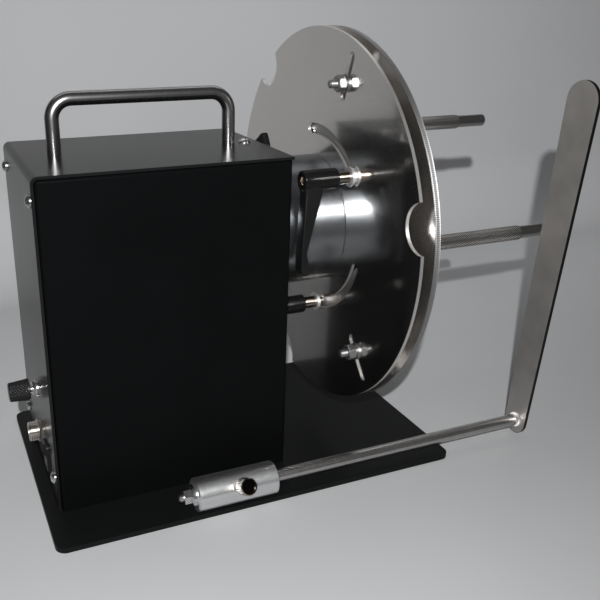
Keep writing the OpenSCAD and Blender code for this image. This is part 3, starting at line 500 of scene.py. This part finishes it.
def lever_grip(number):
    """A handle swept away from the barrel. Its section is a superellipse of the eighth power, between
    a left and a right outline that are tables of X against the distance from the barrel's axis. The
    end is a half round."""
    y, z, aim = lever_axis(number)
    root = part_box("lever_%d" % number)[1].x - BARREL_L + GRIP_ROOT
    along = np.linspace(0.0, GRIP_L - GRIP_TIP, 80)
    left = np.interp(along, *zip(*LEFT_OUTLINE))
    right = np.interp(along, *zip(*RIGHT_OUTLINE))
    turn = np.linspace(0, np.pi / 2, 12)[1:]
    along = np.concatenate([along, GRIP_L - GRIP_TIP + GRIP_TIP * np.sin(turn)])
    middle = np.concatenate([(left + right) / 2, np.full(len(turn), (left[-1] + right[-1]) / 2)])
    wide = np.concatenate([(right - left) / 2, (right[-1] - left[-1]) / 2 * np.cos(turn)])
    deep = np.concatenate([np.full(len(left), GRIP_HALF), GRIP_HALF - GRIP_THINNED * (1 - np.cos(turn))])
    round_ = np.linspace(0, 2 * np.pi, 96, endpoint=False)
    across = np.sign(np.cos(round_)) * np.abs(np.cos(round_)) ** (2 / SECTION_POWER)
    aside = np.sign(np.sin(round_)) * np.abs(np.sin(round_)) ** (2 / SECTION_POWER)
    x = root + middle[:, None] + wide[:, None] * across[None, :]
    out = np.broadcast_to(along[:, None], x.shape)
    side = deep[:, None] * aside[None, :]
    points = np.stack([x, y + out * math.cos(aim) - side * math.sin(aim),
                       z + out * math.sin(aim) + side * math.cos(aim)], axis=-1)
    piece = surface("lever_grip_%d" % number, points, grip_plastic, wrap=True)
    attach(piece, "lever_%d" % number)


HEAD_R = 0.0048
HEAD_RISE = 0.0011
HEAD_SINK = 0.0002
CROSS_HALF = 0.0027
CROSS_WIDE = 0.00055
CROSS_DEPTH = 0.0013
CROSS_EDGE = 0.0002


def lever_screw(number):
    """A domed head in the barrel's end. Its X grows with the square of the radius, so the middle stands
    out most, and two crossed bars are pressed into it."""
    y, z, aim = lever_axis(number)
    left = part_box("lever_%d" % number)[1].x - BARREL_L
    angle = np.linspace(0, 2 * np.pi, 96, endpoint=False)
    share = np.linspace(1, 0, 48)
    radius = HEAD_R * share[:, None]
    first = np.abs(radius * np.cos(angle[None, :]))
    second = np.abs(radius * np.sin(angle[None, :]))
    beyond = np.minimum(np.maximum(first - CROSS_HALF, second - CROSS_WIDE),
                        np.maximum(second - CROSS_HALF, first - CROSS_WIDE))
    pressed = CROSS_DEPTH * np.clip(-beyond / CROSS_EDGE, 0, 1)
    x = left + HEAD_SINK + HEAD_RISE * share[:, None] ** 2 + pressed
    points = about_x(x, radius, angle[None, :] + aim, y, z)
    piece = surface("lever_screw_%d" % number, points, screw_brass, wrap=True)
    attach(piece, "lever_%d" % number)


for number in (1, 2, 3):
    lever_barrel(number)
    lever_grip(number)
    lever_screw(number)
washer_zinc = make_material("washer_zinc", plated(level=0.85, rough=0.42))
dress(washer_zinc, "lever_washers")
turned_steel = make_material("turned_steel", plated(level=0.4, rough=0.24, warm=0.03))
dress(turned_steel, "pin_slider_1", "pin_slider_2", "pin_slider_3", "motor_shaft", "spindle_shaft",
      "pot_shaft", "end_screw")
insert_steel = make_material("insert_steel", plated(level=0.2, rough=0.16, warm=0.14))
dress(insert_steel, "lever_insert_1", "lever_insert_2", "lever_insert_3")


# Grip pins
# Turned steel pins with a diamond knurl and a smooth end, screwed to sliders in the front disc.

def diamonds(angle, along, count, pitch):
    """Height of a diamond knurl from 0 to 1: the lower of two zigzags that wind opposite ways."""
    first = zigzag(angle * count / (2 * np.pi) + along / pitch)
    second = zigzag(angle * count / (2 * np.pi) - along / pitch)
    return np.minimum(first, second)


# The pins' knurl is painted: near-black cuts as painted shade, bright points as painted highlight.
knurled_steel = make_material("knurled_steel", knurled(low=0.01, high=0.95, rough=0.36, warm=0.03))
PIN_R = 0.0062
PIN_TIP_R = 0.0052
PIN_TIP_L = 0.0285
PIN_BORE = 0.0042
PIN_COLLAR = 0.006
COLLAR_LAP = 0.0003
PIN_CHAMFER = 0.0008
KNURL_COUNT = 24
KNURL_PITCH = 0.0025
KNURL_DEPTH = 0.0007
ROWS_PER_PITCH = 12
COLUMNS_PER_RIDGE = 6


def grip_pin(number):
    """A revolved profile of radius against X, whose middle part is lowered between the knurl's
    diamonds."""
    node = "grip_pin_%d" % number
    low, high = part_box(node)
    y, z = (low.y + high.y) / 2, (low.z + high.z) / 2
    collar = (high.y - low.y) / 2
    shoulder = high.x - PIN_TIP_L
    start = low.x + PIN_COLLAR - COLLAR_LAP
    steps = int(ROWS_PER_PITCH * (shoulder - start) / KNURL_PITCH)
    x_mid = np.linspace(start, shoulder - PIN_CHAMFER, steps)
    head = [(low.x, PIN_BORE), (low.x, collar), (start - 0.0007, collar), (start, collar - PIN_CHAMFER),
            (start, PIN_R - 0.0002)]
    tail = [(shoulder, PIN_R - PIN_CHAMFER), (shoulder, PIN_TIP_R), (high.x - 0.001, PIN_TIP_R),
            (high.x - 0.0004, PIN_TIP_R - 0.0004), (high.x, PIN_TIP_R - 0.001), (high.x, 0.0)]
    x = np.concatenate([[p[0] for p in head], x_mid, [p[0] for p in tail]])
    r = np.concatenate([[p[1] for p in head], np.full(steps, PIN_R), [p[1] for p in tail]])
    angle = np.linspace(0, 2 * np.pi, COLUMNS_PER_RIDGE * KNURL_COUNT, endpoint=False)
    cut = np.zeros_like(x)
    cut[len(head):len(head) + steps] = KNURL_DEPTH
    height = diamonds(angle[None, :], x[:, None], KNURL_COUNT, KNURL_PITCH)
    radius = r[:, None] - cut[:, None] * (1 - height)
    points = about_x(x[:, None], radius, angle[None, :], y, z)
    piece = surface(node + "_knurled", points, knurled_steel, wrap=True)
    mark_ridges(piece, y, z, PIN_R - KNURL_DEPTH, PIN_R, start + 0.0001, shoulder - 0.0001)
    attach(piece, "pin_%d" % number)
    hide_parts(node)


for number in (1, 2, 3):
    grip_pin(number)


# Controls on the left end
# A knurled plastic knob on the speed pot, a nickel-plated round supply socket,
# and a black rocker switch.

knob_plastic = make_material("knob_plastic", moulded(level=0.006, rough=0.36, sheen=0.2))
dress(knob_plastic, "rocker_frame", "rocker")
nickel = make_material("nickel", plated(level=0.62, rough=0.2, warm=0.06))
dress(nickel, "supply_socket", "speed_pot")
KNOB_TAPER = 0.0012
KNOB_BORE = 0.0031
KNOB_SIDE_ROWS = 90
GRIP_COUNT = 24
GRIP_PITCH = 0.0026
GRIP_DEPTH = 0.0006


def knob():
    """A revolved profile of radius against X: an end face, a soft corner and a cone that is cut by a
    diamond knurl."""
    low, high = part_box("speed_knob")
    y, z = (low.y + high.y) / 2, (low.z + high.z) / 2
    wide = (high.z - low.z) / 2 - 0.0001
    narrow = wide - KNOB_TAPER
    x_side = np.linspace(low.x + 0.0008, high.x - 0.0012, KNOB_SIDE_ROWS)
    r_side = np.linspace(narrow, wide, KNOB_SIDE_ROWS)
    x = np.concatenate([[low.x, low.x], x_side, [high.x - 0.0004, high.x, high.x]])
    r = np.concatenate([[0.0, narrow - 0.0008], r_side, [wide, wide - 0.0004, KNOB_BORE]])
    cut = np.where((x > low.x + 0.001) & (x < high.x - 0.0016), GRIP_DEPTH, 0.0)
    angle = np.linspace(0, 2 * np.pi, 8 * GRIP_COUNT, endpoint=False)
    height = diamonds(angle[None, :], x[:, None], GRIP_COUNT, GRIP_PITCH)
    radius = r[:, None] - cut[:, None] * (1 - height)
    points = about_x(x[:, None], radius, angle[None, :], y, z)
    piece = surface("knurled_knob", points, knob_plastic, wrap=True)
    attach(piece, "knob")
    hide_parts("speed_knob")


knob()


# Control board
# A green board with a heat sink, capacitors and a terminal strip, on four brass posts.

COPPER_GRAIN = 420.0
LACQUER_DARK = (0.012, 0.09, 0.03, 1.0)
LACQUER_PALE = (0.03, 0.17, 0.07, 1.0)


def lacquer(w):
    """Green lacquer over fine copper tracks, which show as slightly paler lines."""
    lines = noise(w, COPPER_GRAIN, 1.0, (1.0, 1.0, 0.05))
    return {
        "Base Color": lines.mix(LACQUER_DARK, LACQUER_PALE),
        "Roughness": lines * 0.15 + 0.25,
    }


board_lacquer = make_material("board_lacquer", lacquer)
dress(board_lacquer, "control_board")
post_brass = make_material("post_brass", plated(level=0.55, rough=0.3, warm=0.35))
dress(post_brass, "board_posts")


# Guide
# A turned aluminium sleeve on the plate, a drawn steel rod that slides and turns in it,
# a ground steel bar on the rod's end, and a knurled thumb screw that clamps the rod.

sleeve_low, sleeve_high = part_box("guide_sleeve")
rod_y = (sleeve_low.y + sleeve_high.y) / 2
rod_low, rod_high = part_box("guide_rod")
rod_z = (rod_low.z + rod_high.z) / 2
DRAWN_GRAIN = 2400.0
DRAWN_RISE = 0.00003
ALONG_ROD = (0.01, 1.0, 1.0)
ALONG_BAR = (1.0, 1.0, 0.015)
NO_GRAIN = (1.0, 1.0, 1.0)


def drawn(level, rough, stretch, warm, edge=None):
    """Drawn or ground metal: long fine scratches along one axis, and faint dull clouds. With an edge
    level given, the faces that do not look along X have that level."""
    def recipe(w):
        scratch = noise(w, DRAWN_GRAIN, 3.0, stretch)
        cloud = noise(w, 55.0, 5.0)
        colour = cloud.mix(grey(level * 0.86, warm), grey(level * 1.08, warm))
        if edge is not None:
            out_x = w.node("SeparateXYZ", out=0, Vector=w.node("TexCoord", out=1))
            flat = w.math("GREATER_THAN", w.math("ABSOLUTE", out_x), 0.6)
            colour = flat.mix(grey(edge, warm), colour)
        return {
            "Base Color": colour,
            "Metallic": 1.0,
            "Roughness": scratch * 0.14 + cloud * 0.08 + (rough - 0.11),
            "Normal": w.node("Bump", Strength=0.2, Distance=DRAWN_RISE, Height=scratch),
        }
    return recipe


sleeve_metal = make_material("sleeve_metal", turned(
    level=0.7, rough=0.19, depth=1.6e-5, y=rod_y, z=rod_z, warm=-0.01, haze=0.25))
dress(sleeve_metal, "guide_sleeve")
rod_steel = make_material("rod_steel", drawn(level=0.47, rough=0.27, stretch=ALONG_ROD, warm=0.02))
dress(rod_steel, "guide_rod")
bead_steel = make_material("bead_steel", drawn(level=0.5, rough=0.5, stretch=NO_GRAIN, warm=0.02))
BEAD_RIPPLES = 26
BEAD_R = 0.0015
BEAD_SWELL = 0.16
BEAD_GAP = 0.0002
BEAD_RING = 0.0053


def weld_bead():
    """A ring round the rod against the bar, whose section swells and shrinks round the rod like laid
    drops."""
    bar_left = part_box("guide_bar")[0].x
    angle = np.linspace(0, 2 * np.pi, 8 * BEAD_RIPPLES, endpoint=False)
    section = np.linspace(0, 2 * np.pi, 20)
    thick = BEAD_R * (1 + BEAD_SWELL * np.cos(BEAD_RIPPLES * angle))
    x = bar_left - BEAD_GAP - thick[None, :] * np.cos(section[:, None])
    radius = BEAD_RING + thick[None, :] * np.sin(section[:, None])
    points = about_x(x, radius, angle[None, :], rod_y, rod_z)
    piece = surface("weld_bead", points, bead_steel, wrap=True)
    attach(piece, "guide_arm")


weld_bead()
bar_steel = make_material("bar_steel", drawn(
    level=0.47, rough=0.52, stretch=ALONG_BAR, warm=0.04, edge=0.03))
dress(bar_steel, "guide_bar")
THUMB_RISE = math.radians(30.0)
thumb_out = (0.0, -math.cos(THUMB_RISE), math.sin(THUMB_RISE))
thumb_steel = make_material("thumb_steel", plated(level=0.34, rough=0.24, warm=0.12, dark_face=thumb_out))
dress(thumb_steel, "thumb_screw")


# Floor and back wall
# One pale sweep: a floor, a bend and a wall close behind the object. It is clear from its back,
# so that the object can be seen from behind and from below.

WALL_Y = 0.487
BEND = 0.12
SWEEP_REACH = 4.0
bend_angle = np.linspace(0, np.pi / 2, 24)
sweep_y = np.concatenate([[-SWEEP_REACH], WALL_Y - BEND + BEND * np.sin(bend_angle), [WALL_Y]])
sweep_z = np.concatenate([[0.0], BEND - BEND * np.cos(bend_angle), [SWEEP_REACH]])
sweep_x = np.array([-SWEEP_REACH, SWEEP_REACH])
sweep_grid = np.broadcast_arrays(sweep_x[None, :], sweep_y[:, None], sweep_z[:, None])
sweep_points = np.stack(sweep_grid, axis=-1)
PAPER_DARK = (0.0, 0.0, 0.0, 1.0)
PAPER_PALE = (0.99, 1.0, 1.015, 1.0)


def paper(w):
    """Matt paper with faint clouds. It is paler to the right, to the back and behind the camera, which
    evens out the lamp's fall."""
    xyz = w.node("TexCoord", out=3)
    right = w.node("SeparateXYZ", out=0, Vector=xyz)
    back = w.node("SeparateXYZ", out=1, Vector=xyz)
    wall = w.node("MapRange", Value=right, From_Min=-0.3, From_Max=0.9, To_Min=0.38, To_Max=0.64)
    share = w.node("MapRange", {"interpolation_type": "SMOOTHSTEP"}, Value=back,
                   From_Min=-0.15, From_Max=0.32)
    near = w.node("MapRange", Value=back, From_Min=-0.4, From_Max=-0.8, To_Min=0.31, To_Max=0.8)
    tone = wall * share + (1 - share) * near
    cloud = noise(w, 6.0, 3.0) * 0.06 + 0.97
    return {
        "Base Color": (tone * cloud).mix(PAPER_DARK, PAPER_PALE),
        "Roughness": 0.6,
        "Specular IOR Level": 0.2,
    }


sweep_paper = make_material("sweep_paper", paper)
paper_tree = sweep_paper.node_tree
paper_wire = Wire(paper_tree, paper_tree.nodes["Principled BSDF"].outputs[0])
behind = paper_wire.node("NewGeometry", out="Backfacing")
clear = paper_wire.node("BsdfTransparent")
one_sided = paper_wire.node("MixShader", s0=behind, s1=paper_wire, s2=clear)
paper_tree.links.new(one_sided.socket, paper_tree.nodes["Material Output"].inputs["Surface"])
sweep = surface("sweep", sweep_points, sweep_paper)
if sweep.data.polygons[0].normal.z < 0:
    sweep.data.flip_normals()


# Light
# A lamp just above the camera throws the shadows on the wall. A wide soft lamp over the wall
# lights the back, and a dim grey room fills the rest.

KEY_PLACE, KEY_TARGET = (-0.27, -0.642, 0.479), (0.1, 0.2, 0.1)
REAR_PLACE, REAR_TARGET = (0.05, 0.44, 1.0), (0.03, 0.0, 0.1)
ROOM = 0.09


def place_lamp(name, data, place, target):
    """Puts a lamp at a place, turned toward a target."""
    made = bpy.data.objects.new(name, data)
    made.location = place
    aim = Vector(place) - Vector(target)
    made.rotation_euler = aim.to_track_quat("Z", "Y").to_euler()
    bpy.context.scene.collection.objects.link(made)
    return made


key = bpy.data.lights.new("key_lamp", "SPOT")
key.spot_size = math.radians(115.0)
key.spot_blend = 1.0
key.shadow_soft_size = 0.006
key.energy = 46.0
place_lamp("key_lamp", key, KEY_PLACE, KEY_TARGET)
rear = bpy.data.lights.new("rear_lamp", "AREA")
rear.shape = "RECTANGLE"
rear.size = 1.4
rear.size_y = 0.5
rear.energy = 3.0
rear_lamp = place_lamp("rear_lamp", rear, REAR_PLACE, REAR_TARGET)
rear_lamp.visible_camera = False

world = bpy.data.worlds.new("dim_room")
world.use_nodes = True
world.node_tree.nodes["Background"].inputs["Color"].default_value = grey(ROOM)
bpy.context.scene.world = world


# Camera
# It stands where the photograph was taken from, left of the front and above.

camera_data = bpy.data.cameras.new("camera")
camera_data.sensor_width = 36.0
camera_data.lens = 47.11
camera_data.shift_x = 0.1056
camera_data.shift_y = -0.0093
camera_data.clip_start = 0.01
camera = bpy.data.objects.new("camera", camera_data)
camera.matrix_world = Matrix((
    (0.92417, 0.13273, -0.35818, -0.21846),
    (-0.38194, 0.33528, -0.86123, -0.55327),
    (0.00578, 0.93272, 0.36055, 0.36263),
    (0.0, 0.0, 0.0, 1.0),
))
bpy.context.scene.collection.objects.link(camera)
bpy.context.scene.camera = camera
bpy.context.scene.view_settings.view_transform = "Standard"
